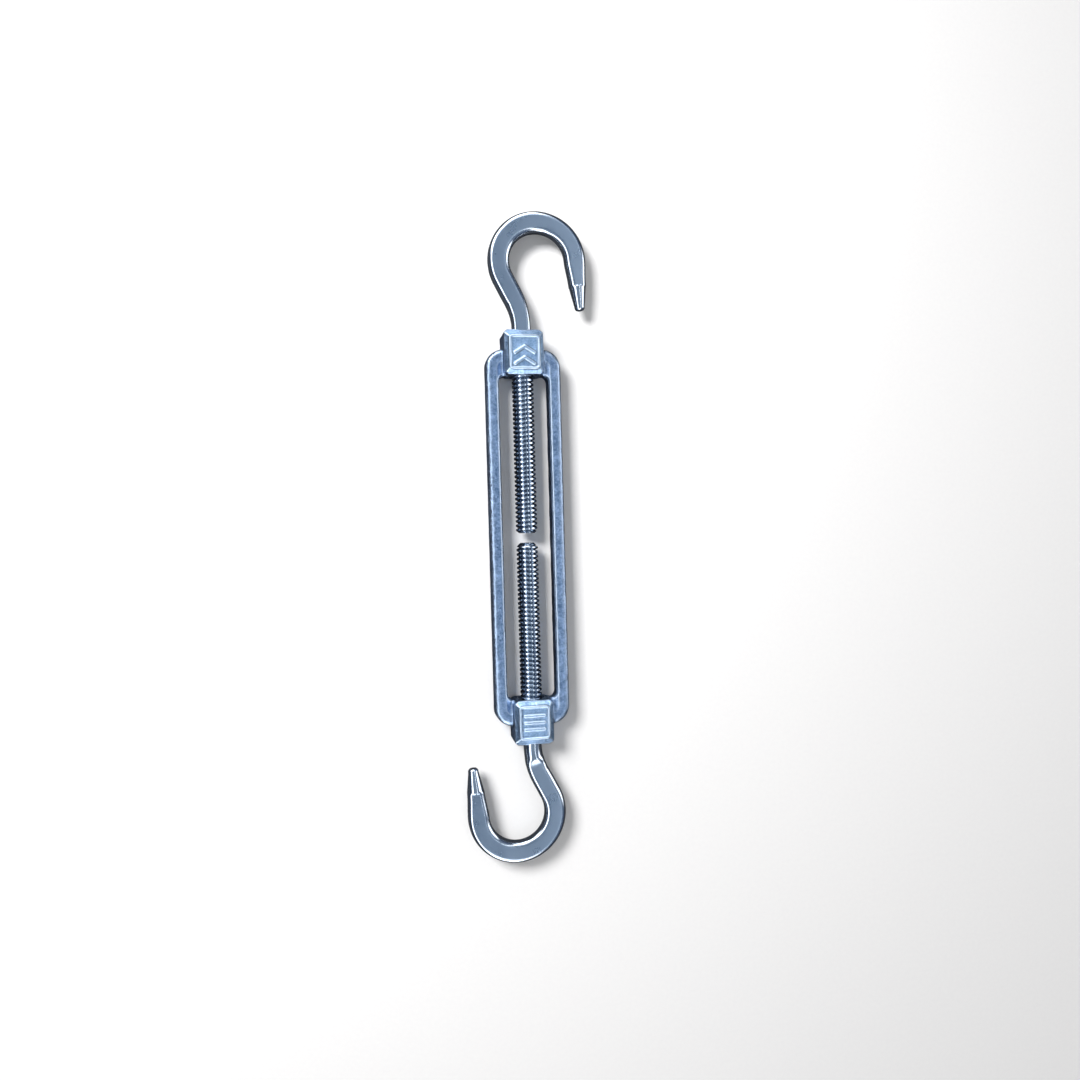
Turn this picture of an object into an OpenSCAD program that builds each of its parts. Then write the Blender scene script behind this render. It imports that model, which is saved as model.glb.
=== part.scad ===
// Rigging turnbuckle: an open cast frame with a right-hand threaded boss at one
// end and a left-hand threaded boss at the other, and a hook rod screwed into
// each boss. Turning the frame draws both hooks in or lets both out.
//
// The thread axis runs along Y and the hooks lie in the XY plane, at rest. +Z is
// the frame's front, the side with the boss marks. The origin is the middle of
// the frame on the thread axis. The right-hand end points to +Y.

/* [Frame] */
// Length of the frame over both bosses
frame_length = 117.2; // [95:0.2:180]
// Width of the frame over both rails
frame_width = 21.4; // [17.6:0.1:30]
// Width of one rail, in the plane of the window
rail_width = 3.6; // [2.6:0.1:4.4]
// Thickness of the rails, front to back
rail_thickness = 5; // [3.5:0.1:8]
// Radius along the rails' outer edges
rail_edge_r = 1; // [0.3:0.1:1.6]
// Chamfer along the window's long edges
window_chamfer = 0.5; // [0.1:0.05:1]
// Radius in the window's corners
window_corner_r = 2; // [0.6:0.1:4]
// Radius of the frame's rounded shoulders
shoulder_r = 5.2; // [2:0.1:7]
// Length of the web that joins the rails to a boss
web_length = 7.3; // [6:0.1:11]

/* [Bosses] */
// Length of a boss along the thread
boss_length = 12.7; // [12:0.1:24]
// Width of a boss
boss_width = 11.2; // [10.8:0.1:16]
// Thickness of a boss, from its back to the top of its marks
boss_thickness = 11.4; // [9.5:0.1:16]
// Chamfer along a boss's four long edges
boss_chamfer = 0.9; // [0.4:0.1:1.1]
// Chamfer at a boss's outer end, on its front and back
boss_end_chamfer = 1.8; // [0.4:0.1:2]
// Chamfer at a boss's window end, on its front and back
boss_inner_chamfer = 1.1; // [0.4:0.1:2]
// Width of the raised rim on a boss's front
panel_width = 8.8; // [6.6:0.1:8.9]
// Length of the raised rim on a boss's front
panel_length = 9.6; // [7:0.1:9.7]
// Width of the rim's own line
panel_line = 0.8; // [0.4:0.05:1]
// Height of the rim and the marks above the boss
mark_height = 0.35; // [0.1:0.05:0.6]
// Chamfer at both mouths of a threaded hole
mouth_chamfer = 0.5; // [0.1:0.05:0.9]

/* [Thread] */
// Outside diameter of the thread
thread_d = 6.1; // [4.8:0.05:7.6]
// Distance from one thread crest to the next
thread_pitch = 1.27; // [0.8:0.01:1.6]
// Running clearance between the thread and its hole, all round
thread_clearance = 0.08; // [0.02:0.01:0.1]
// How much wider the rolled thread is than the plain rod
thread_rise = 0.9; // [0.4:0.05:1.2]
// Gap between the two rods' ends in the middle of the window
tip_gap = 2.7; // [1.4:0.1:12]
// Chamfer on the right-hand rod's end
right_tip_chamfer = 0.8; // [0.3:0.05:1.2]
// Chamfer on the left-hand rod's end
left_tip_chamfer = 1.2; // [0.3:0.05:1.6]
// How far inside the boss the thread stops
thread_runout = 2; // [0.5:0.1:4]

/* [Hooks] */
// Inner radius of a hook's bowl
bowl_r = 8; // [5:0.05:12]
// Width of the flattened hook wire, in the plane of the hook
wire_width = 6.1; // [4.4:0.05:8]
// Thickness of the flattened hook wire, front to back
wire_thickness = 4.1; // [3:0.05:5]
// Chamfer along the hook wire's four edges
wire_chamfer = 1.2; // [0.4:0.05:1.4]
// Plain rod that shows between a boss and its hook
neck_clear = 0.7; // [0.66:0.01:4]
// Straight rod before the neck's bend
neck_straight = 0.25; // [0.1:0.05:4]
// Radius of the neck's bend, on the rod's centreline
neck_bend_r = 19; // [8:0.5:26]
// Angle by which the neck leans away from the thread axis
neck_angle = 27; // [15:1:35]
// Distance from the neck's corner point to the bowl's tangent point
neck_length = 10.6; // [9:0.1:20]
// Length over which the round neck flattens
flatten_length = 2.5; // [1:0.1:4]
// Step down in diameter where the flattening starts
flatten_step = 0.1; // [0.05:0.05:0.4]
// Angle by which the hook's leg leans outward
leg_lean = 5; // [0:0.5:12]
// Length of the hook's leg from the bowl to the point
leg_length = 14.8; // [9:0.1:22]
// Length of the tapered point
point_length = 6.8; // [2:0.1:8]
// Diameter at the very end of the point
point_d = 2.9; // [1.5:0.1:3.8]

/* [Hidden] */
$fn = 96;
eps = 0.01;

// A hook's straight stretches run a little way into its bends, and are this much
// slimmer so that no two faces lie on each other there
seam_overlap = 0.3;
seam_step = 0.04;

// Frame, worked out from the sizes above
half_length = frame_length / 2;
window_length = frame_length - 2 * boss_length;
window_width = frame_width - 2 * rail_width;
edge_cut = window_chamfer * sqrt(2);
shoulder_y = window_length / 2 + web_length;
boss_mid_y = half_length - boss_length / 2;
panel_mid_y = boss_mid_y - (boss_end_chamfer - boss_inner_chamfer) / 2;
block_thickness = boss_thickness - mark_height;
bore_d = thread_d + 2 * thread_clearance;

// Thread form: a truncated 60 degree profile, in shares of the pitch
thread_depth = 0.51 * thread_pitch;
crest_flat = thread_pitch / 4;
flank = thread_depth * tan(30);
root_flat = thread_pitch - crest_flat - 2 * flank;
rod_d = thread_d - thread_rise;
thread_start = tip_gap / 2;
thread_end = half_length - thread_runout;

// Hook centreline: straight neck, bend, leaning neck, bowl and leg
split_y = half_length + neck_clear;
bend_y = split_y + neck_straight;
bend_tangent = neck_bend_r * tan(neck_angle / 2);
bowl_line_r = bowl_r + wire_width / 2;
lean = [-sin(neck_angle), cos(neck_angle)];
lean_normal = [cos(neck_angle), sin(neck_angle)];
neck_corner = [0, bend_y + bend_tangent];
bend_end = neck_corner + bend_tangent * lean;
bowl_centre = neck_corner + neck_length * lean + bowl_line_r * lean_normal;
bowl_arc = 180 + neck_angle - leg_lean;
leg_start = bowl_centre + bowl_line_r * [cos(leg_lean), sin(leg_lean)];

// Marks: bars on one boss, chevrons on the other
mark_line = 0.9;
mark_span = panel_width - 4 * panel_line;
mark_step = panel_length / 5;
chevron_angle = 30;
chevron_arm = mark_span / 2 / cos(chevron_angle) + mark_line / 4;

// A rectangle with round corners
module round_rect(w, l, r) {
  square([w - 2 * r, l], center = true);
  square([w, l - 2 * r], center = true);
  for (x = [-1, 1], y = [-1, 1]) {
    translate([x * (w / 2 - r), y * (l / 2 - r)]) circle(r);
  }
}

// A rectangle with cut corners
module cut_rect(w, l, c) {
  polygon([
    for (s = [[1, 1], [-1, 1], [-1, -1], [1, -1]])
      for (k = s[0] * s[1] > 0 ? [0, 1] : [1, 0])
        [s[0] * (w / 2 - k * c), s[1] * (l / 2 - (1 - k) * c)]
  ]);
}

// Places a child's Z along the XY plane from point p, at an angle from +Y
module along(p, angle) {
  translate([p[0], p[1], 0]) rotate([0, 0, angle]) rotate([-90, 0, 0]) children();
}

// Turns a child to the left-hand end
module left_end() {
  rotate([0, 0, 180]) children();
}

// The rails and webs: a flat ring with rounded outer edges
module rail_ring() {
  difference() {
    intersection() {
      linear_extrude(rail_thickness, center = true) round_rect(frame_width, 2 * shoulder_y, shoulder_r);
      rotate([90, 0, 0]) linear_extrude(frame_length, center = true)
        round_rect(frame_width, rail_thickness, rail_edge_r);
    }
    linear_extrude(2 * rail_thickness, center = true) round_rect(window_width, window_length, window_corner_r);
    for (x = [-1, 1], z = [-1, 1]) {
      translate([x * window_width / 2, 0, z * rail_thickness / 2]) rotate([0, 45, 0])
        cube([edge_cut, window_length - 2 * window_corner_r, edge_cut], center = true);
    }
  }
}

// A boss seen from its side, with its outer end cut back more than its window end
module boss_profile() {
  l = boss_length / 2;
  h = block_thickness / 2;
  a = boss_end_chamfer;
  b = boss_inner_chamfer;
  below = [[-l, b - h], [b - l, -h], [l - a, -h], [l, a - h]];
  above = [[l, h - a], [l - a, h], [b - l, h], [-l, h - b]];
  polygon(concat(below, above));
}

// One boss, as a block with cut edges that leaves room for its marks
module boss() {
  translate([0, boss_mid_y, -mark_height / 2]) intersection() {
    rotate([90, 0, 0]) linear_extrude(boss_length, center = true)
      cut_rect(boss_width, block_thickness, boss_chamfer);
    rotate([90, 0, 90]) linear_extrude(boss_width, center = true) boss_profile();
  }
}

// The hole through one boss, with a chamfer at each mouth
module boss_hole() {
  along([0, half_length - boss_length - eps], 0) {
    cylinder(d = bore_d, h = boss_length + 2 * eps);
    cylinder(d1 = bore_d + 2 * mouth_chamfer, d2 = bore_d, h = mouth_chamfer);
    translate([0, 0, boss_length + 2 * eps - mouth_chamfer])
      cylinder(d1 = bore_d, d2 = bore_d + 2 * mouth_chamfer, h = mouth_chamfer);
  }
}

// The raised rim on a boss's front, with a child's marks inside it
module boss_panel() {
  translate([0, panel_mid_y, boss_thickness / 2 - mark_height - eps]) linear_extrude(mark_height + eps) {
    difference() {
      square([panel_width, panel_length], center = true);
      square([panel_width - 2 * panel_line, panel_length - 2 * panel_line], center = true);
    }
    children();
  }
}

// Two raised chevrons that point away from the window
module chevron_marks() {
  for (k = [-1, 1]) {
    translate([0, k * mark_step * 0.8]) {
      for (side = [-1, 1]) {
        rotate(-side * chevron_angle) translate([side * chevron_arm / 2, 0])
          square([chevron_arm, mark_line], center = true);
      }
    }
  }
}

// Three raised bars across the boss
module bar_marks() {
  for (k = [-1:1]) {
    translate([0, k * mark_step]) square([mark_span, mark_line], center = true);
  }
}

// The cast frame with both bosses
module frame() {
  color("lightsteelblue") difference() {
    union() {
      rail_ring();
      boss();
      left_end() boss();
      boss_panel() chevron_marks();
      left_end() boss_panel() bar_marks();
    }
    boss_hole();
    left_end() boss_hole();
  }
}

// One threaded rod from its end in the window to the start of its hook
module threaded_rod(tip_chamfer) {
  first_crest = thread_start + tip_chamfer + crest_flat;
  turns = floor((thread_end - first_crest) / thread_pitch);
  outline = concat(
    [[0, thread_start], [thread_d / 2 - tip_chamfer, thread_start]],
    [[thread_d / 2, thread_start + tip_chamfer]],
    [
      for (i = [0:turns - 1], p = [[0, 0], [1, flank], [1, flank + root_flat], [0, 2 * flank + root_flat]])
        [thread_d / 2 - p[0] * thread_depth, first_crest + i * thread_pitch + p[1]]
    ],
    [[thread_d / 2, thread_end], [rod_d / 2, thread_end + thread_rise / 2]],
    [[rod_d / 2, split_y], [0, split_y]]
  );
  along([0, 0], 0) rotate_extrude() polygon(outline);
}

module right_hand_screw() {
  color("silver") threaded_rod(right_tip_chamfer);
}

module left_hand_screw() {
  color("silver") left_end() threaded_rod(left_tip_chamfer);
}

// The round neck, up to where the wire is flattened
module neck() {
  along([0, split_y], 0) cylinder(d = rod_d - seam_step, h = neck_straight + seam_overlap);
  translate([-neck_bend_r, bend_y, 0]) rotate_extrude(angle = neck_angle)
    translate([neck_bend_r, 0]) circle(d = rod_d);
  along(bend_end - seam_overlap * lean, neck_angle)
    cylinder(d1 = rod_d - flatten_step, d2 = wire_thickness - seam_step, h = flatten_length + seam_overlap);
}

// The flattened wire, cut across, and slimmer by a step where it is straight
module wire_section(step = 0) {
  cut_rect(wire_width - step, wire_thickness - step, wire_chamfer);
}

// The flattened wire: leaning neck, bowl, and leg with its round tapered point
module flat_hook() {
  along(bend_end, neck_angle) linear_extrude(neck_length - bend_tangent + seam_overlap)
    wire_section(seam_step);
  translate([bowl_centre[0], bowl_centre[1], 0]) rotate([0, 0, leg_lean])
    rotate_extrude(angle = bowl_arc) translate([bowl_line_r, 0]) wire_section();
  along(leg_start, 180 + leg_lean) {
    translate([0, 0, -seam_overlap]) linear_extrude(leg_length - point_length + seam_overlap)
      wire_section(seam_step);
    translate([0, 0, leg_length - point_length - seam_overlap])
      cylinder(d1 = rod_d, d2 = point_d, h = point_length + seam_overlap);
  }
}

module right_hand_hook() {
  color("gainsboro") {
    neck();
    flat_hook();
  }
}

module left_hand_hook() {
  color("gainsboro") left_end() {
    neck();
    flat_hook();
  }
}

frame();
right_hand_screw();
right_hand_hook();
left_hand_screw();
left_hand_hook();
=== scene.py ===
"""Rigging turnbuckle: a cast open frame and two hook rods with opposite-hand threads."""

import math

import bpy
import numpy as np
from mathutils import Matrix, Quaternion, Vector


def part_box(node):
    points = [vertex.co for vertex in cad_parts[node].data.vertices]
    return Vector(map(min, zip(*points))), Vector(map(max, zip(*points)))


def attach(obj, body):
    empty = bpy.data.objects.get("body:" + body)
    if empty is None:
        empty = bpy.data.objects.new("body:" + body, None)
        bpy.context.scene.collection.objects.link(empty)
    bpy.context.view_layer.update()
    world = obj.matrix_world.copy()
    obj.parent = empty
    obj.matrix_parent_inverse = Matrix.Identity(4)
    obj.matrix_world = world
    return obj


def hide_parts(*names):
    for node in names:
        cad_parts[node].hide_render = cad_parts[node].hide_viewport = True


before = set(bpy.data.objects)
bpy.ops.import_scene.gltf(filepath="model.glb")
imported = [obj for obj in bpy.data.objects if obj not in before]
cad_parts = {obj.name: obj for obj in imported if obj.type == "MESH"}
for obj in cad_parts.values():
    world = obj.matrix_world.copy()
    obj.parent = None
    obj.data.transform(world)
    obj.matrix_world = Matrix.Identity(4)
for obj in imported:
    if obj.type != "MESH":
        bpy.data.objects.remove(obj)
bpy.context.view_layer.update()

MM = 0.001
# A distance in millimetres that is further than any mark
FAR = 9.0

# Frame sizes in millimetres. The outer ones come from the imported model.
FRAME_LOW, FRAME_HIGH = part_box("frame")
HALF_WIDTH = FRAME_HIGH.x / MM
HALF_LENGTH = FRAME_HIGH.y / MM
FRONT_Z = FRAME_HIGH.z / MM
RAIL_WIDTH = 3.6
RAIL_HALF_THICKNESS = 2.5
RAIL_EDGE_R = 1.5
SHOULDER_R = 5.2
WEB_LENGTH = 7.3
WEB_HALF_THICKNESS = 2.1
WEB_INSET = 0.6
WEB_EDGE_R = 0.5
WEB_FILLET = 1.2
WINDOW_CORNER_R = 2.0
WINDOW_CHAMFER = 0.5
BOSS_LENGTH = 12.7
BOSS_HALF_WIDTH = 5.6
BOSS_CHAMFER = 0.9
BOSS_OUTER_CHAMFER = 1.8
BOSS_INNER_CHAMFER = 1.1
BOSS_SIDE_CHAMFER = 0.7
BOSS_SOFTENING = 0.55
BOSS_FILLET = 0.9
MARK_HEIGHT = 0.35
MARK_LINE = 0.9
MARK_ROWS = 5
MARK_END_GAP = 0.3
MARK_EDGE_R = 0.25
MARK_FILLET = 0.2
CHEVRON_DEGREES = 30
CHEVRON_STEPS = (-0.8, 0.8)
BAR_STEPS = (-1, 0, 1)
PANEL_HALF_WIDTH = 4.4
PANEL_HALF_LENGTH = 4.8
PANEL_LINE = 0.7
PANEL_CORNER_R = 0.8
MOUTH_CHAMFER = 0.5
MOUTH_REACH = 1.5 * MOUTH_CHAMFER
MOUTH_SLOPE = 0.9
WINDOW_HALF_LENGTH = HALF_LENGTH - BOSS_LENGTH
SHOULDER_Y = WINDOW_HALF_LENGTH + WEB_LENGTH
BOSS_MID_Y = HALF_LENGTH - BOSS_LENGTH / 2
PANEL_SHIFT = (BOSS_OUTER_CHAMFER - BOSS_INNER_CHAMFER) / 2

# Slow unevenness of the casting: wavelengths with their number of waves, and height per
# millimetre of wavelength
CAST_WAVES = ((6.0, 5), (2.6, 7))
CAST_WAVE_HEIGHT = 0.0022
CAST_WAVE_PHASE = 6.28
CAST_SEED = 11

# Grid of the cast frame's mesh: fine around the bosses, coarser along the rails. A grid
# point that is nearer the surface than GRID_TOUCH counts as that far outside it.
GRID_FINE = 0.23
GRID_COARSE = 0.7
GRID_MARGIN = 0.5
GRID_END_MARGIN = 0.6
GRID_FINE_REACH = 4
GRID_GAP = 0.3
GRID_TOUCH = 1e-6

# Steps that settle the mesh onto the surface, and the reach and gain of the edge measure
SLOPE_STEP = 0.02
SLOPE_LEAST = 0.2
SETTLE_ROUNDS = 3
SETTLE_SHARE = 0.9
SETTLE_MOST = 0.1
EDGE_REACH = 0.35
EDGE_GAIN = 0.9

# Thread and rod sizes in millimetres
THREAD_R = 3.05
THREAD_PITCH = 1.27
THREAD_DEPTH = 0.51 * THREAD_PITCH
THREAD_CLEARANCE = 0.08
BORE_R = THREAD_R + THREAD_CLEARANCE
CREST_HALF = 0.18
FLANK = 0.27
THREAD_FADE = 1.3
THREAD_RUNOUT = 2.0
SMOOTH_GAP = 0.4
ROD_R = 2.6
THREAD_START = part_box("right_hand_screw")[0].y / MM
THREAD_END = HALF_LENGTH - THREAD_RUNOUT
SPLIT_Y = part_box("right_hand_screw")[1].y / MM

# Mesh of the rods. A point moves at most SNAP_SHARE of a row to meet a crest's or root's line.
COLUMNS = 80
ROWS_PER_PITCH = 12
SNAP_SHARE = 0.49
RING_STEP = 0.3
CAP_ANGLES = np.linspace(0.12, 1, 8) * math.pi / 2
TIP_RINGS = 3
FLAT_SHARE = 0.985
ROD_SHARP_DEGREES = 34

# Hook sizes in millimetres, and angles in degrees
BOWL_R = 8.0
WIRE_HALF_WIDTH = 3.05
WIRE_HALF_THICKNESS = 2.05
WIRE_CORNER_R = 1.6
NECK_STRAIGHT = 0.25
BEND_Y = SPLIT_Y + NECK_STRAIGHT
BEND_R = 19.0
NECK_ANGLE = 27.0
NECK_LENGTH = 10.6
LEG_LEAN = 5.0
LEG_LENGTH = 14.8
POINT_LENGTH = 6.8
POINT_R = 1.45
LEG_END_HALF_WIDTH = 2.45
POINT_ROUNDING = 1.0
POINT_STEP = 0.5
WIDEN_START = 3.0
WIDEN_LENGTH = 11.0
PRESS_LENGTH = 2.6

# Marks of the bending tool: distance along the hook, depth, half length and angle around the
# wire. DENT_ANGLE is half their width. Angles are in radians.
DENTS = (
    (9.4, 0.12, 0.30, -1.15),
    (10.2, 0.08, 0.25, -1.0),
)
DENT_ANGLE = 0.16

# Side, thread hand, tip chamfer, tip dome, where the pressing starts, turned end for end
RODS = (
    ("right", 1, 0.8, 0.0, -0.6, False),
    ("left", -1, 1.2, 0.35, 5.6, True),
)

# Linear colours of the metals, grey steel tinted with a painted blue sky reflection, and the
# heights in metres over which the painted sheen on the raised boss fronts comes in
RAIL_DARK = (0.15, 0.23, 0.37)
RAIL_LIGHT = (0.42, 0.55, 0.76)
# Lighter copy of the cast colour: a painted sheen on the raised boss fronts
PAINTED_SHEEN_DARK = (0.24, 0.38, 0.58)
PAINTED_SHEEN_LIGHT = (0.52, 0.70, 0.92)
# Convex edges: rubbing wear plus a painted highlight
WEAR_AND_HIGHLIGHT_COLOUR = (0.72, 0.80, 0.88)
# Painted shade in the hollows
PAINTED_SHADE_COLOUR = (0.24, 0.29, 0.37)
PAINTED_SHEEN_RISE = (0.0032, 0.0052)
# Rod steel, tinted with a painted blue sky reflection
ROD_DARK = (0.56, 0.60, 0.66)
ROD_LIGHT = (0.66, 0.70, 0.75)
# Pressed flats: a darker, bluer tone, a painted reflection of the dim sky
FLAT_PAINTED_REFLECTION = (0.37, 0.44, 0.53)
# Painted shade in the thread roots
ROOT_PAINTED_SHADE = (0.24, 0.30, 0.38)

# Noise sizes, in cells per metre
CAST_GRAIN = 1700
CAST_MOTTLE = 420
CAST_CLOUD = 90
ROD_GRAIN = 3000
ROD_CLOUD = 160
FLOOR_GRAIN = 900

# The floor's two tones, and its colour where the metal reflects it
FLOOR_TONES = ((0.86, 0.86, 0.87), (0.90, 0.90, 0.90))
FLOOR_REFLECTED = (0.05, 0.055, 0.065)

# Studio, in metres and watts
FILL_COLOUR = (0.47, 0.47, 0.47, 1)
FLOOR_HALF = 1.5
KEY_PLACE = (-0.27, 0.22, 0.40)
KEY_SIZE = 0.17
KEY_POWER = 3.4
KEY_COLOUR = (1.0, 0.99, 0.98)
LAMP_COLOUR = (0.93, 0.97, 1.0, 1)
BACKDROP_COLOUR = (0.85, 0.86, 0.87, 1)

# Round panels: direction, inner and outer degrees, strength
GLOWS = (
    ((-0.62, 0.66, 0.42), 11, 20, 3.0),
    ((0.05, -0.85, 0.52), 13, 24, 2.6),
    ((0.90, 0.12, 0.38), 13, 22, 2.6),
    ((-0.05, 0.86, 0.50), 15, 26, 2.5),
)

# Long panels: lean, inner and outer degrees, strength
STRIPES = (
    (-42, 6, 11, 3.6),
    (21, 1.0, 2.4, 3.4),
)

# Sky in reflections: height, colour
SKY_RAMP = (
    (0.10, (0.012, 0.018, 0.032, 1)),
    (0.60, (0.15, 0.20, 0.30, 1)),
    (0.95, (0.27, 0.35, 0.45, 1)),
)

# Camera: place and target in millimetres, roll in degrees
CAMERA_PLACE = (-39, 3.2, 240)
CAMERA_TARGET = (3.8, -0.77, 0)
CAMERA_ROLL = -1.585
CAMERA_LENS = 28.36


# ---------------------------------------------------------------- distance fields

def soft_cut(a, b, r):
    """The solid inside both fields, with the edge between them rounded to r."""
    u = np.maximum(r + a, 0)
    v = np.maximum(r + b, 0)
    return np.minimum(-r, np.maximum(a, b)) + np.sqrt(u * u + v * v)


def soft_join(a, b, r):
    """The solid inside either field, with a fillet of r between them."""
    u = np.maximum(r - a, 0)
    v = np.maximum(r - b, 0)
    return np.maximum(r, np.minimum(a, b)) - np.sqrt(u * u + v * v)


def bevel_cut(a, b, c):
    """The solid inside both fields, with the edge between them chamfered by c."""
    return np.maximum(np.maximum(a, b), (a + b + c) * math.sqrt(0.5))


def round_box(x, y, half_x, half_y, r):
    """Distance to a rectangle with round corners."""
    qx = np.abs(x) - half_x + r
    qy = np.abs(y) - half_y + r
    outside = np.hypot(np.maximum(qx, 0), np.maximum(qy, 0))
    return outside + np.minimum(np.maximum(qx, qy), 0) - r


def segment(x, y, x0, y0, x1, y1):
    """Distance to a line from one point to another."""
    dx = x1 - x0
    dy = y1 - y0
    t = np.clip(((x - x0) * dx + (y - y0) * dy) / (dx * dx + dy * dy), 0, 1)
    return np.hypot(x - x0 - t * dx, y - y0 - t * dy)


def rail_field(x, y, z):
    """The rails, the round shoulders and the webs between them."""
    outline = round_box(x, y, HALF_WIDTH, SHOULDER_Y, SHOULDER_R)
    flat = np.abs(z) - RAIL_HALF_THICKNESS
    body = soft_cut(outline, flat, RAIL_EDGE_R)
    bead = bevel_cut(body, -(outline + RAIL_WIDTH), WINDOW_CHAMFER)
    web = soft_cut(outline + WEB_INSET, np.abs(z) - WEB_HALF_THICKNESS, WEB_EDGE_R)
    joined = soft_join(bead, web, WEB_FILLET)
    window = round_box(x, y, HALF_WIDTH - RAIL_WIDTH, WINDOW_HALF_LENGTH, WINDOW_CORNER_R)
    return bevel_cut(joined, -window, WINDOW_CHAMFER)


def boss_field(x, y, z):
    """A boss as a softened block with cut edges. y counts outward from its middle."""
    half_z = FRONT_Z - MARK_HEIGHT / 2 - BOSS_SOFTENING
    side = np.abs(x) - BOSS_HALF_WIDTH + BOSS_SOFTENING
    face = np.abs(z + MARK_HEIGHT / 2) - half_z
    end = np.abs(y) - BOSS_LENGTH / 2 + BOSS_SOFTENING
    end_chamfer = np.where(y > 0, BOSS_OUTER_CHAMFER, BOSS_INNER_CHAMFER)
    block = bevel_cut(side, face, BOSS_CHAMFER)
    block = np.maximum(block, bevel_cut(face, end, end_chamfer))
    block = np.maximum(block, bevel_cut(side, end, BOSS_SIDE_CHAMFER))
    return block - BOSS_SOFTENING


def mark_field(x, y, right_hand):
    """Chevrons on the right-hand boss, bars on the left-hand one, inside a rim."""
    half_x = PANEL_HALF_WIDTH - PANEL_LINE / 2
    half_y = PANEL_HALF_LENGTH - PANEL_LINE / 2
    rim = np.abs(round_box(x, y, half_x, half_y, PANEL_CORNER_R))
    span = PANEL_HALF_WIDTH - 2 * PANEL_LINE
    end = span - MARK_END_GAP
    step = 2 * PANEL_HALF_LENGTH / MARK_ROWS
    drop = span * math.tan(math.radians(CHEVRON_DEGREES))
    chevrons = FAR
    for k in CHEVRON_STEPS:
        arm = segment(np.abs(x), y, 0, k * step, end, k * step - drop)
        chevrons = np.minimum(chevrons, arm)
    bars = FAR
    for k in BAR_STEPS:
        bars = np.minimum(bars, segment(x, y, -end, k * step, end, k * step))
    marks = np.where(right_hand, chevrons, bars)
    return np.minimum(rim - PANEL_LINE / 2, marks - MARK_LINE / 2)


def casting_waves(x, y, z):
    """Slow unevenness of a cast and tumbled surface, a few hundredths of a millimetre high."""
    rng = np.random.default_rng(CAST_SEED)
    total = 0
    for size, count in CAST_WAVES:
        for _ in range(count):
            k = rng.normal(size=3)
            k *= 2 * math.pi / size / np.linalg.norm(k)
            phase = k[0] * x + k[1] * y + k[2] * z + rng.uniform(0, CAST_WAVE_PHASE)
            total = total + size * CAST_WAVE_HEIGHT * np.sin(phase)
    return total


def frame_field(x, y, z):
    """The whole cast frame."""
    turn = np.where(y < 0, -1.0, 1.0)
    along = np.abs(y) - BOSS_MID_Y
    boss = boss_field(x, along, z)
    marks = mark_field(x * turn, along + PANEL_SHIFT, y > 0)
    top = FRONT_Z - MARK_HEIGHT
    relief = soft_cut(marks, np.abs(z - top) - MARK_HEIGHT, MARK_EDGE_R)
    solid = soft_join(rail_field(x, y, z), boss, BOSS_FILLET) + casting_waves(x, y, z)
    solid = soft_join(solid, relief, MARK_FILLET)
    radius = np.hypot(x, z)
    past = MOUTH_CHAMFER - BOSS_LENGTH / 2 + np.abs(along)
    mouth = BORE_R + np.clip(past, 0, MOUTH_REACH)
    return np.maximum(solid, (mouth - radius) * MOUTH_SLOPE)


# ---------------------------------------------------------------- meshes

def surface_nets(field, xs, ys, zs):
    """Vertices and quads of a field's surface on an uneven grid."""
    values = field(xs[:, None, None], ys[None, :, None], zs[None, None, :])
    values = np.where(np.abs(values) < GRID_TOUCH, GRID_TOUCH, values)
    inside = values < 0
    shape = tuple(n - 1 for n in values.shape)
    total = np.zeros(shape + (3,))
    count = np.zeros(shape)
    grids = [xs, ys, zs]
    crossings = []
    for axis in range(3):
        others = [a for a in range(3) if a != axis]
        low = [slice(None)] * 3
        high = [slice(None)] * 3
        low[axis] = slice(0, -1)
        high[axis] = slice(1, None)
        f0 = values[tuple(low)]
        f1 = values[tuple(high)]
        cross = inside[tuple(low)] != inside[tuple(high)]
        crossings.append(cross)
        i = np.nonzero(cross)
        t = f0[i] / (f0[i] - f1[i])
        point = np.stack([grids[a][i[a]] for a in range(3)], axis=1)
        g = grids[axis]
        point[:, axis] = g[i[axis]] + t * (g[i[axis] + 1] - g[i[axis]])
        for du in (0, 1):
            for dv in (0, 1):
                cell = [c.copy() for c in i]
                cell[others[0]] -= du
                cell[others[1]] -= dv
                keep = (cell[others[0]] >= 0) & (cell[others[1]] >= 0)
                keep &= (cell[others[0]] < shape[others[0]]) & (cell[others[1]] < shape[others[1]])
                c = tuple(a[keep] for a in cell)
                np.add.at(total, c, point[keep])
                np.add.at(count, c, 1)
    active = count > 0
    index = np.full(shape, -1)
    index[active] = np.arange(active.sum())
    verts = total[active] / count[active][:, None]
    faces = []
    for axis in range(3):
        u, v = [a for a in range(3) if a != axis]
        i = np.nonzero(crossings[axis])
        cells = []
        for du, dv in ((0, 0), (1, 0), (1, 1), (0, 1)):
            cell = [c.copy() for c in i]
            cell[u] -= du
            cell[v] -= dv
            cells.append(index[tuple(cell)])
        quad = np.stack(cells, axis=1)
        low = inside[i]
        flip = low if axis != 1 else ~low
        quad[flip] = quad[flip][:, ::-1]
        faces.append(quad)
    return verts, np.concatenate(faces)


def settle(field, points):
    """Moves points onto the field's surface."""
    p = points.copy()
    h = SLOPE_STEP
    for _ in range(SETTLE_ROUNDS):
        value = field(p[:, 0], p[:, 1], p[:, 2])
        slope = np.stack([
            field(p[:, 0] + h, p[:, 1], p[:, 2]) - field(p[:, 0] - h, p[:, 1], p[:, 2]),
            field(p[:, 0], p[:, 1] + h, p[:, 2]) - field(p[:, 0], p[:, 1] - h, p[:, 2]),
            field(p[:, 0], p[:, 1], p[:, 2] + h) - field(p[:, 0], p[:, 1], p[:, 2] - h),
        ], axis=1) / (2 * h)
        square = np.maximum((slope ** 2).sum(axis=1), SLOPE_LEAST)
        step = np.clip(value / square, -SETTLE_MOST, SETTLE_MOST)
        p -= slope * step[:, None] * SETTLE_SHARE
    return p


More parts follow.
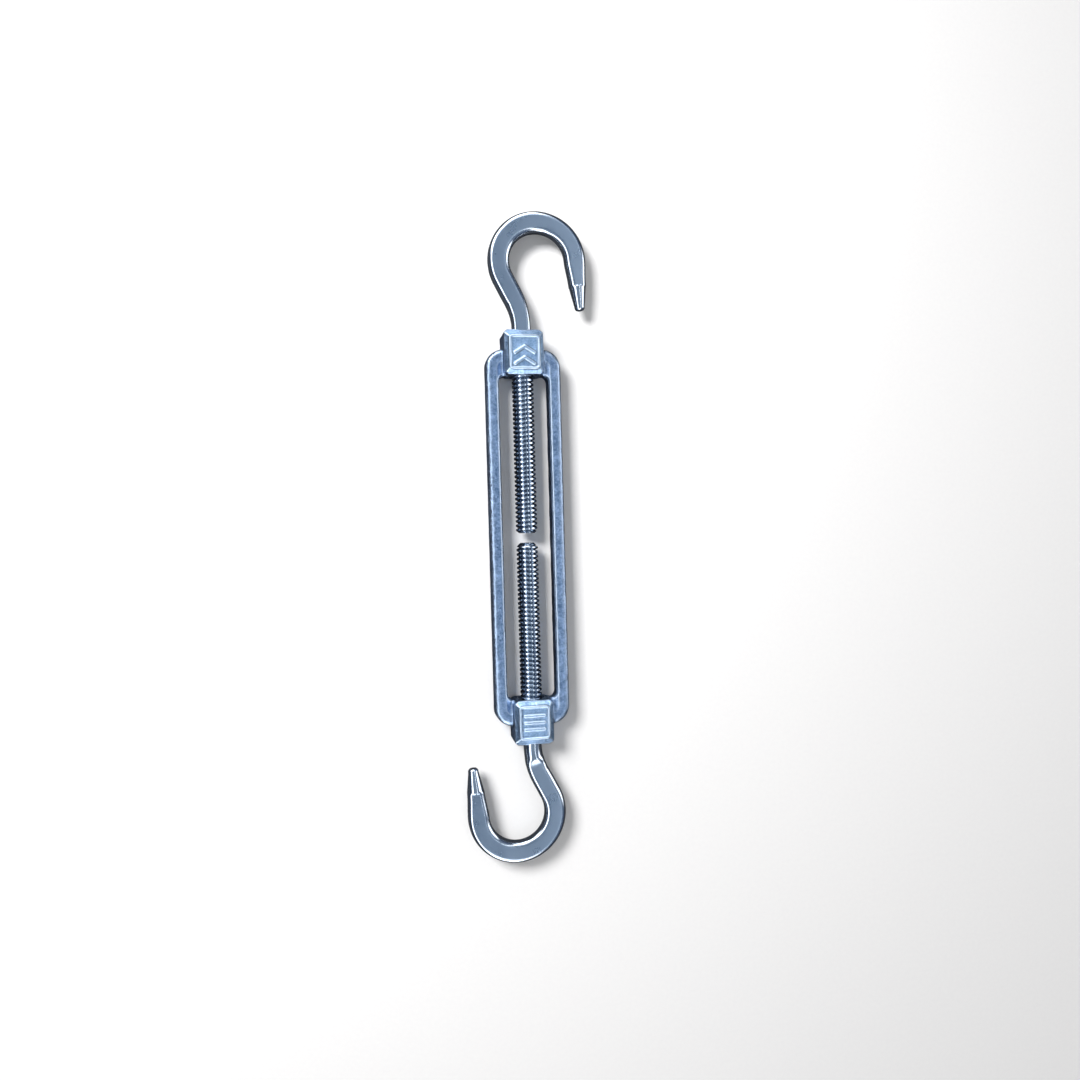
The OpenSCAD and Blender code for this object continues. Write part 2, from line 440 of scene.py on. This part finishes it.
def edge_amount(field, p, reach):
    """How convex the surface is at each point: above 0 on edges, below 0 in hollows."""
    total = -6 * field(p[:, 0], p[:, 1], p[:, 2])
    for axis in range(3):
        for sign in (-1, 1):
            q = p.copy()
            q[:, axis] += sign * reach
            total += field(q[:, 0], q[:, 1], q[:, 2])
    return total / reach


def mesh_object(name, verts, faces, attributes, sharp_degrees=None):
    """A smooth mesh object from millimetre points, with named point attributes."""
    mesh = bpy.data.meshes.new(name)
    faces = [tuple(int(i) for i in f) for f in faces]
    mesh.from_pydata((np.asarray(verts) * MM).tolist(), [], faces)
    mesh.polygons.foreach_set("use_smooth", [True] * len(mesh.polygons))
    if sharp_degrees:
        mesh.set_sharp_from_angle(angle=math.radians(sharp_degrees))
    for key, values in attributes.items():
        layer = mesh.attributes.new(key, "FLOAT", "POINT")
        layer.data.foreach_set("value", np.asarray(values, np.float32))
    mesh.update()
    mesh.validate()
    obj = bpy.data.objects.new(name, mesh)
    bpy.context.scene.collection.objects.link(obj)
    return obj


def make_frame():
    """The cast frame as one mesh, fine around the bosses and coarser along the rails."""
    width = HALF_WIDTH + GRID_MARGIN
    depth = FRONT_Z + GRID_MARGIN
    xs = np.arange(-width, width + GRID_FINE, GRID_FINE)
    zs = np.arange(-depth, depth + GRID_FINE, GRID_FINE)
    fine_start = WINDOW_HALF_LENGTH - GRID_FINE_REACH
    near = np.arange(fine_start, HALF_LENGTH + GRID_END_MARGIN, GRID_FINE)
    middle = np.arange(GRID_COARSE / 2, near[0] - GRID_GAP, GRID_COARSE)
    half = np.concatenate([middle, near])
    ys = np.concatenate([-half[::-1], half])
    verts, faces = surface_nets(frame_field, xs, ys, zs)
    verts = settle(frame_field, verts)
    edge = edge_amount(frame_field, verts, EDGE_REACH) * EDGE_GAIN
    # From the convexity: edges for wear plus a painted highlight, hollows for painted shade
    attributes = {"edge": np.clip(edge, 0, 1), "painted_shade": np.clip(-edge, 0, 1)}
    limit = np.array([HALF_WIDTH, HALF_LENGTH, FRONT_Z])
    verts = np.clip(verts, -limit, limit)
    return mesh_object("cast_frame", verts, faces, attributes)


# ---------------------------------------------------------------- rods

def wire_radius(angle, width, height, corner):
    """Distance from a rounded rectangle's middle to its edge. Angle 0 is towards the front."""
    s = np.abs(np.sin(angle)) + 1e-9
    c = np.abs(np.cos(angle)) + 1e-9
    a = width - corner
    b = height - corner
    mid = a * s + b * c
    arc = mid + np.sqrt(np.maximum(mid * mid - a * a - b * b + corner * corner, 0))
    out = np.where(height * s / c <= a, height / c, arc)
    return np.where(width * c / s <= b, width / s, out)


def thread_rows(hand, tip_chamfer, angle):
    """Rows of points up a threaded rod, with each crest and root line followed exactly."""
    step = THREAD_PITCH / ROWS_PER_PITCH
    rows = int((THREAD_END - THREAD_START) / step)
    y = np.linspace(THREAD_START, THREAD_END, rows + 1)[:, None] + 0 * angle[None, :]
    turn = hand * angle[None, :] / (2 * math.pi)
    phase = y / THREAD_PITCH - turn
    best = np.full(y.shape, FAR)
    for corner in (CREST_HALF, CREST_HALF + FLANK):
        for side in (-1, 1):
            gap = side * corner - phase
            gap -= np.round(gap)
            best = np.where(np.abs(gap) < np.abs(best), gap, best)
    snap = np.where(np.abs(best) * THREAD_PITCH < step * SNAP_SHARE, best * THREAD_PITCH, 0)
    snap[0] = 0
    snap[-1] = 0
    y = y + snap
    phase = y / THREAD_PITCH - turn
    away = np.abs(phase - np.round(phase))
    depth = np.clip((away - CREST_HALF) / FLANK, 0, 1)
    radius = THREAD_R - THREAD_DEPTH * depth
    fade = np.clip((y - THREAD_END + THREAD_FADE) / THREAD_FADE, 0, 1)
    radius = radius + (ROD_R - radius) * fade
    radius = np.minimum(radius, THREAD_R - tip_chamfer + (y - THREAD_START))
    return y, radius, depth * (1 - fade)


def hook_path():
    """Points, headings and distances along a hook from its neck to its point, and its length."""
    bend = math.radians(NECK_ANGLE)
    lean = math.radians(LEG_LEAN)
    line_r = BOWL_R + WIRE_HALF_WIDTH
    tangent = BEND_R * math.tan(bend / 2)
    away = np.array([-math.sin(bend), math.cos(bend)])
    inward = np.array([math.cos(bend), math.sin(bend)])
    corner = np.array([0, BEND_Y + tangent])
    bowl = corner + NECK_LENGTH * away + line_r * inward
    leg = bowl + line_r * np.array([math.cos(lean), math.sin(lean)])
    neck_start = THREAD_END + SMOOTH_GAP
    stretches = [
        ("line", np.array([0, neck_start]), 0.0, BEND_Y - THREAD_END - SMOOTH_GAP),
        ("left", np.array([-BEND_R, BEND_Y]), 0.0, bend),
        ("line", corner + tangent * away, bend, NECK_LENGTH - tangent),
        ("bowl", bowl, bend, math.pi + bend - lean),
        ("line", leg, lean - math.pi, LEG_LENGTH),
    ]
    points = []
    headings = []
    lengths = []
    done = 0.0
    for kind, at, heading, size in stretches:
        length = size * {"line": 1, "left": BEND_R, "bowl": line_r}[kind]
        n = max(3, int(length / RING_STEP))
        for t in np.arange(n) / n:
            if kind == "line":
                h = heading
                p = at + t * size * np.array([-math.sin(h), math.cos(h)])
            elif kind == "left":
                h = heading + t * size
                p = at + BEND_R * np.array([math.cos(h), math.sin(h)])
            else:
                h = heading - t * size
                p = at - line_r * np.array([math.cos(h), math.sin(h)])
            points.append(p)
            headings.append(h)
            lengths.append(done + t * length)
        done += length
    return np.array(points), np.array(headings), np.array(lengths), done


def smooth(t):
    """0 to 1 with level ends as t goes from 0 to 1."""
    t = np.clip(t, 0, 1)
    return t * t * (3 - 2 * t)


def hook_sections(length, done, press_start):
    """Half width, half height and corner of the wire: round, pressed flat, then a round point."""
    press = smooth((length - press_start) / PRESS_LENGTH)
    point = done - POINT_LENGTH
    start = smooth((length - point + POINT_STEP / 2) / POINT_STEP)
    press = press * (1 - start)
    height = ROD_R + (WIRE_HALF_THICKNESS - ROD_R) * press
    along_leg = (length - done + LEG_LENGTH) / (LEG_LENGTH - POINT_LENGTH)
    narrow = (WIRE_HALF_WIDTH - LEG_END_HALF_WIDTH) * smooth(along_leg)
    width = ROD_R + (WIRE_HALF_WIDTH - ROD_R) * smooth((length - WIDEN_START) / WIDEN_LENGTH)
    widest = math.sqrt(ROD_R ** 2 - WIRE_HALF_THICKNESS ** 2)
    flat = np.sqrt(np.maximum(ROD_R ** 2 - height ** 2, 0))
    flat = flat / widest * (WIRE_HALF_WIDTH - WIRE_CORNER_R)
    corner = np.minimum(width - flat, height)
    taper = np.clip((length - point) / (POINT_LENGTH - POINT_ROUNDING), 0, 1)
    size = 1 - taper * (1 - POINT_R / LEG_END_HALF_WIDTH)
    width = (width - narrow) * (1 - start) + LEG_END_HALF_WIDTH * start
    height = height - (ROD_R - LEG_END_HALF_WIDTH) * start
    corner = np.minimum(corner, np.minimum(width, height))
    return width * size, height * size, corner * size, press


def dented(r, angle, lengths):
    """The wire's radii with the bending tool's marks pressed in."""
    for at, depth, reach, side in DENTS:
        turn = (angle - side + math.pi) % (2 * math.pi) - math.pi
        along = ((lengths[:, None] - at) / reach) ** 2
        r = r - depth * np.exp(-along - (turn[None, :] / DENT_ANGLE) ** 2)
    return r


def ring(centre, radius, angle, heading):
    """Points of rings around centres, square to their headings in the XY plane."""
    across = radius * np.sin(angle)
    x = centre[..., 0:1] + across * np.cos(heading)[..., None]
    y = centre[..., 1:2] + across * np.sin(heading)[..., None]
    return np.stack([x, y, radius * np.cos(angle)], axis=-1)


def hook_rings(angle, press_start):
    """Rings of the neck, bowl and leg with the rounded point, and how pressed each point is."""
    points, headings, lengths, done = hook_path()
    taken = lengths < done - POINT_ROUNDING
    points, headings, lengths = points[taken], headings[taken], lengths[taken]
    width, height, corner, press = hook_sections(lengths, done, press_start)
    r = wire_radius(angle[None, :], width[:, None], height[:, None], corner[:, None])
    r = dented(r, angle, lengths)
    flat = press[:, None] * (r * np.abs(np.cos(angle)) > height[:, None] * FLAT_SHARE)
    h = headings[-1]
    forward = np.array([-math.sin(h), math.cos(h)])
    left = done - lengths[-1] - POINT_ROUNDING
    centres = points[-1] + forward * (left + POINT_ROUNDING * np.sin(CAP_ANGLES))[:, None]
    radii = r[-1] - POINT_ROUNDING * (1 - np.cos(CAP_ANGLES))[:, None]
    cap = ring(centres, radii, angle, np.full(len(CAP_ANGLES), h))
    rings = np.concatenate([ring(points, r, angle, headings), cap])
    return rings, np.concatenate([flat, np.zeros(cap.shape[:2])])


def tip_rings(angle, tip_chamfer, tip_dome):
    """Rings that close the threaded end, from its middle outwards."""
    tip_r = THREAD_R - tip_chamfer
    rings = []
    for k in range(1, TIP_RINGS + 1):
        share = k / (TIP_RINGS + 1)
        r = tip_r * share
        y = THREAD_START + 0 * angle + tip_dome * share * share
        rings.append(np.stack([r * np.sin(angle), y, r * np.cos(angle)], axis=-1))
    return np.array(rings)


def ring_faces(count):
    """Quads between rings, and a fan at each end around the two last points."""
    faces = []
    here = np.arange(COLUMNS)
    after = (here + 1) % COLUMNS
    for k in range(count - 1):
        a = k * COLUMNS + here
        b = k * COLUMNS + after
        faces.append(np.stack([a, a + COLUMNS, b + COLUMNS, b], axis=1))
    faces = [tuple(f) for f in np.concatenate(faces)]
    first = count * COLUMNS
    last = first + 1
    for j, k in zip(here, after):
        faces.append((first, j, k))
        faces.append((last, (count - 1) * COLUMNS + k, (count - 1) * COLUMNS + j))
    return faces


def make_rod(name, hand, tip_chamfer, tip_dome, press_start, turned):
    """One bent hook rod with its thread, as one closed mesh."""
    angle = np.arange(COLUMNS) * 2 * math.pi / COLUMNS
    y, radius, root = thread_rows(hand, tip_chamfer, angle)
    thread = np.stack([radius * np.sin(angle), y, radius * np.cos(angle)], axis=-1)
    thread[0, :, 1] += tip_dome
    tip = tip_rings(angle, tip_chamfer, tip_dome)
    hook, pressed = hook_rings(angle, press_start)
    grid = np.concatenate([tip, thread, hook])
    ends = np.array([(0, THREAD_START, 0), grid[-1].mean(axis=0)])
    verts = np.concatenate([grid.reshape(-1, 3), ends])
    if turned:
        verts = verts * np.array([-1, -1, 1])
    plain_tip = np.zeros(tip.shape[:2])
    root = np.concatenate([plain_tip, root, np.zeros(hook.shape[:2])])
    pressed = np.concatenate([plain_tip, np.zeros(thread.shape[:2]), pressed])
    # The root depth carries painted shade into the thread grooves
    attributes = {
        "root": np.append(root.reshape(-1), [0, 0]),
        "pressed": np.append(pressed.reshape(-1), [0, 0]),
    }
    return mesh_object(name, verts, ring_faces(len(grid)), attributes, ROD_SHARP_DEGREES)


# ---------------------------------------------------------------- materials

def node_tree(name):
    """A new material with its nodes, its links and its shader."""
    material = bpy.data.materials.new(name)
    material.use_nodes = True
    nodes = material.node_tree.nodes
    return material, nodes, material.node_tree.links, nodes["Principled BSDF"]


def noise(nodes, links, coords, scale, detail=3.0, roughness=0.5):
    """Noise between 0 and 1."""
    node = nodes.new("ShaderNodeTexNoise")
    node.inputs["Scale"].default_value = scale
    node.inputs["Detail"].default_value = detail
    node.inputs["Roughness"].default_value = roughness
    links.new(coords, node.inputs["Vector"])
    return node.outputs["Fac"]


def spread(nodes, links, value, low_in, high_in, low_out, high_out):
    """A value stretched from one range to another."""
    node = nodes.new("ShaderNodeMapRange")
    node.inputs["From Min"].default_value = low_in
    node.inputs["From Max"].default_value = high_in
    node.inputs["To Min"].default_value = low_out
    node.inputs["To Max"].default_value = high_out
    links.new(value, node.inputs["Value"])
    return node.outputs["Result"]


def sum_of(nodes, links, a, b):
    """Two values added and held between 0 and 1."""
    node = nodes.new("ShaderNodeMath")
    node.operation = "ADD"
    node.use_clamp = True
    links.new(a, node.inputs[0])
    links.new(b, node.inputs[1])
    return node.outputs[0]


def blend_colour(nodes, links, amount, first, second):
    """From the first colour to the second as the amount goes from 0 to 1."""
    node = nodes.new("ShaderNodeMix")
    node.data_type = "RGBA"
    links.new(amount, node.inputs["Factor"])
    for socket, value in ((node.inputs["A"], first), (node.inputs["B"], second)):
        if isinstance(value, tuple):
            socket.default_value = (*value, 1)
        else:
            links.new(value, socket)
    return node.outputs["Result"]


def attribute(nodes, name):
    """A point attribute's value."""
    node = nodes.new("ShaderNodeAttribute")
    node.attribute_name = name
    return node.outputs["Fac"]


def bump(nodes, links, height, strength, distance, below=None):
    """A surface direction roughened by a height, on top of another where one is given."""
    node = nodes.new("ShaderNodeBump")
    node.inputs["Strength"].default_value = strength
    node.inputs["Distance"].default_value = distance
    links.new(height, node.inputs["Height"])
    if below is not None:
        links.new(below, node.inputs["Normal"])
    return node.outputs["Normal"]


def cast_steel():
    """Cast stainless steel, tumbled: fine grain, soft mottling, a painted blue sky tint, a painted
    sheen on the boss fronts, edges brightened by wear and a painted highlight, painted shade in
    hollows.
    """
    material, nodes, links, shader = node_tree("cast_stainless")
    coords = nodes.new("ShaderNodeTexCoord").outputs["Object"]
    grain = noise(nodes, links, coords, CAST_GRAIN, 2.0, 0.6)
    mottle = noise(nodes, links, coords, CAST_MOTTLE, 3.0, 0.55)
    cloud = noise(nodes, links, coords, CAST_CLOUD, 2.0, 0.5)
    tone = spread(nodes, links, mottle, 0.32, 0.68, 0.15, 0.75)
    tone = sum_of(nodes, links, tone, spread(nodes, links, grain, 0.3, 0.7, -0.35, 0.4))
    # Cast colour, tinted with a painted blue sky reflection
    rails = blend_colour(nodes, links, tone, RAIL_DARK, RAIL_LIGHT)
    bosses = blend_colour(nodes, links, tone, PAINTED_SHEEN_DARK, PAINTED_SHEEN_LIGHT)
    # Above the rails' height the boss fronts take the lighter copy, a painted sheen
    split = nodes.new("ShaderNodeSeparateXYZ")
    links.new(coords, split.inputs[0])
    sheen_share = spread(nodes, links, split.outputs["Z"], *PAINTED_SHEEN_RISE, 0.0, 1.0)
    base = blend_colour(nodes, links, sheen_share, rails, bosses)
    # Convex edges brightened: rubbing wear plus a painted highlight
    worn_and_highlit = blend_colour(nodes, links, attribute(nodes, "edge"), base, WEAR_AND_HIGHLIGHT_COLOUR)
    # Hollows darkened: painted shade
    dark = blend_colour(nodes, links, attribute(nodes, "painted_shade"), worn_and_highlit, PAINTED_SHADE_COLOUR)
    links.new(dark, shader.inputs["Base Color"])
    rough = spread(nodes, links, grain, 0.3, 0.7, 0.30, 0.46)
    rough = sum_of(nodes, links, rough, spread(nodes, links, cloud, 0.35, 0.65, -0.04, 0.06))
    links.new(rough, shader.inputs["Roughness"])
    shader.inputs["Metallic"].default_value = 1.0
    low = bump(nodes, links, mottle, 0.9, 0.00020)
    fine = bump(nodes, links, grain, 0.9, 0.00012, low)
    links.new(fine, shader.inputs["Normal"])
    return material


def polished_rod():
    """Rolled and bent stainless rod with a painted blue sky tint: glossy rounds, satin pressed
    flats in a darker painted sky reflection, painted shade in the thread roots.
    """
    material, nodes, links, shader = node_tree("polished_stainless")
    coords = nodes.new("ShaderNodeTexCoord").outputs["Object"]
    grain = noise(nodes, links, coords, ROD_GRAIN, 2.0, 0.6)
    cloud = noise(nodes, links, coords, ROD_CLOUD, 3.0, 0.5)
    tone = spread(nodes, links, cloud, 0.3, 0.7, 0.0, 1.0)
    # Rod colour, tinted with a painted blue sky reflection
    base = blend_colour(nodes, links, tone, ROD_DARK, ROD_LIGHT)
    # Pressed flats take a darker, bluer painted reflection of the dim sky
    flats = blend_colour(nodes, links, attribute(nodes, "pressed"), base, FLAT_PAINTED_REFLECTION)
    # Thread roots darkened: painted shade
    dark = blend_colour(nodes, links, attribute(nodes, "root"), flats, ROOT_PAINTED_SHADE)
    links.new(dark, shader.inputs["Base Color"])
    glossy = spread(nodes, links, cloud, 0.3, 0.7, 0.10, 0.17)
    satin = spread(nodes, links, attribute(nodes, "pressed"), 0, 1, 0.0, 0.16)
    links.new(sum_of(nodes, links, glossy, satin), shader.inputs["Roughness"])
    shader.inputs["Metallic"].default_value = 1.0
    low = bump(nodes, links, cloud, 0.12, 0.00025)
    fine = bump(nodes, links, grain, 0.16, 0.00002, low)
    links.new(fine, shader.inputs["Normal"])
    return material


# ---------------------------------------------------------------- stage

def look_at(obj, target, roll=0.0):
    """Points obj at target with its top towards +Y, then rolls it."""
    back = (obj.location - Vector(target)).normalized()
    right = Vector((0, 1, 0)).cross(back).normalized()
    turn = Matrix((right, back.cross(right), back)).transposed()
    obj.rotation_mode = "QUATERNION"
    obj.rotation_quaternion = turn.to_quaternion() @ Quaternion((0, 0, 1), roll)


def make_key():
    """A square lamp on the upper left, kept out of reflections."""
    light = bpy.data.lights.new("key", "AREA")
    light.shape = "RECTANGLE"
    light.size = KEY_SIZE
    light.size_y = KEY_SIZE
    light.energy = KEY_POWER
    light.color = KEY_COLOUR
    obj = bpy.data.objects.new("key", light)
    bpy.context.scene.collection.objects.link(obj)
    obj.location = KEY_PLACE
    obj.visible_glossy = False
    look_at(obj, (0, 0, 0))


def make_floor(level):
    """A pale floor that turns dark in reflections."""
    half = FLOOR_HALF
    corners = ((-half, -half), (half, -half), (half, half), (-half, half))
    verts = np.array([(x, y, level) for x, y in corners]) / MM
    floor = mesh_object("floor", verts, [(0, 1, 2, 3)], {})
    material, nodes, links, shader = node_tree("pale_floor")
    coords = nodes.new("ShaderNodeTexCoord").outputs["Object"]
    paper = noise(nodes, links, coords, FLOOR_GRAIN)
    tone = blend_colour(nodes, links, paper, *FLOOR_TONES)
    path = nodes.new("ShaderNodeLightPath")
    seen = blend_colour(nodes, links, path.outputs["Is Glossy Ray"], tone, FLOOR_REFLECTED)
    links.new(seen, shader.inputs["Base Color"])
    shader.inputs["Roughness"].default_value = 0.9
    shader.inputs["Specular IOR Level"].default_value = 0.1
    floor.data.materials.append(material)


def glow(nodes, links, coords, direction, inner_degrees, outer_degrees, strength):
    """A soft round panel in the studio, seen in reflections."""
    dot = nodes.new("ShaderNodeVectorMath")
    dot.operation = "DOT_PRODUCT"
    links.new(coords, dot.inputs[0])
    dot.inputs[1].default_value = Vector(direction).normalized()
    inner = math.cos(math.radians(inner_degrees))
    outer = math.cos(math.radians(outer_degrees))
    return spread(nodes, links, dot.outputs["Value"], outer, inner, 0, strength)


def stripe(nodes, links, coords, lean_degrees, inner_degrees, outer_degrees, strength):
    """A long panel overhead that runs along Y and leans to one side, seen in reflections."""
    lean = math.radians(lean_degrees)
    dot = nodes.new("ShaderNodeVectorMath")
    dot.operation = "DOT_PRODUCT"
    links.new(coords, dot.inputs[0])
    dot.inputs[1].default_value = (math.cos(lean), 0, -math.sin(lean))
    size = nodes.new("ShaderNodeMath")
    size.operation = "ABSOLUTE"
    links.new(dot.outputs["Value"], size.inputs[0])
    inner = math.sin(math.radians(inner_degrees))
    outer = math.sin(math.radians(outer_degrees))
    return spread(nodes, links, size.outputs[0], outer, inner, 0, strength)


def add_all(nodes, links, values):
    """The sum of all values."""
    result = values[0]
    for value in values[1:]:
        node = nodes.new("ShaderNodeMath")
        node.operation = "ADD"
        links.new(result, node.inputs[0])
        links.new(value, node.inputs[1])
        result = node.outputs[0]
    return result


def make_world():
    """Metal reflects a cool sky and a few bright panels. The floor gets plain fill."""
    world = bpy.data.worlds.new("studio")
    bpy.context.scene.world = world
    world.use_nodes = True
    nodes = world.node_tree.nodes
    links = world.node_tree.links
    coords = nodes.new("ShaderNodeTexCoord").outputs["Generated"]
    split = nodes.new("ShaderNodeSeparateXYZ")
    links.new(coords, split.inputs[0])
    ramp = nodes.new("ShaderNodeValToRGB")
    (low_at, low), (middle_at, middle), (high_at, high) = SKY_RAMP
    stops = ramp.color_ramp.elements
    stops[0].position = low_at
    stops[0].color = low
    stops[1].position = high_at
    stops[1].color = high
    stops.new(middle_at).color = middle
    links.new(split.outputs["Z"], ramp.inputs["Fac"])
    sky = nodes["Background"]
    links.new(ramp.outputs["Color"], sky.inputs["Color"])
    panels = [glow(nodes, links, coords, *values) for values in GLOWS]
    panels += [stripe(nodes, links, coords, *values) for values in STRIPES]
    lamps = nodes.new("ShaderNodeBackground")
    lamps.inputs["Color"].default_value = LAMP_COLOUR
    links.new(add_all(nodes, links, panels), lamps.inputs["Strength"])
    both = nodes.new("ShaderNodeAddShader")
    links.new(sky.outputs[0], both.inputs[0])
    links.new(lamps.outputs[0], both.inputs[1])
    fill = nodes.new("ShaderNodeBackground")
    fill.inputs["Color"].default_value = FILL_COLOUR
    path = nodes.new("ShaderNodeLightPath")
    pale = nodes.new("ShaderNodeBackground")
    pale.inputs["Color"].default_value = BACKDROP_COLOUR
    plain = nodes.new("ShaderNodeMixShader")
    links.new(path.outputs["Is Camera Ray"], plain.inputs[0])
    links.new(fill.outputs[0], plain.inputs[1])
    links.new(pale.outputs[0], plain.inputs[2])
    shown = nodes.new("ShaderNodeMixShader")
    links.new(path.outputs["Is Glossy Ray"], shown.inputs[0])
    links.new(plain.outputs[0], shown.inputs[1])
    links.new(both.outputs[0], shown.inputs[2])
    links.new(shown.outputs[0], nodes["World Output"].inputs["Surface"])


def make_camera():
    """The photograph's camera: above, a little to the left, and turned slightly."""
    data = bpy.data.cameras.new("camera")
    camera = bpy.data.objects.new("camera", data)
    bpy.context.scene.collection.objects.link(camera)
    camera.location = Vector(CAMERA_PLACE) * MM
    data.lens = CAMERA_LENS
    data.sensor_width = 36.0
    data.clip_start = 0.01
    look_at(camera, Vector(CAMERA_TARGET) * MM, math.radians(CAMERA_ROLL))
    bpy.context.scene.camera = camera


# ---------------------------------------------------------------- build

cast = cast_steel()
rod = polished_rod()
body = make_frame()
body.data.materials.append(cast)
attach(body, "frame")
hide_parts("frame")

for side, hand, chamfer, dome, press_start, turned in RODS:
    piece = make_rod(side + "_hand_hook_rod", hand, chamfer, dome, press_start, turned)
    piece.data.materials.append(rod)
    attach(piece, side + "_hand_hook")
    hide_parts(side + "_hand_screw", side + "_hand_hook")

make_floor(FRAME_LOW.z)
make_world()
make_key()
make_camera()
bpy.context.scene.view_settings.view_transform = "Standard"
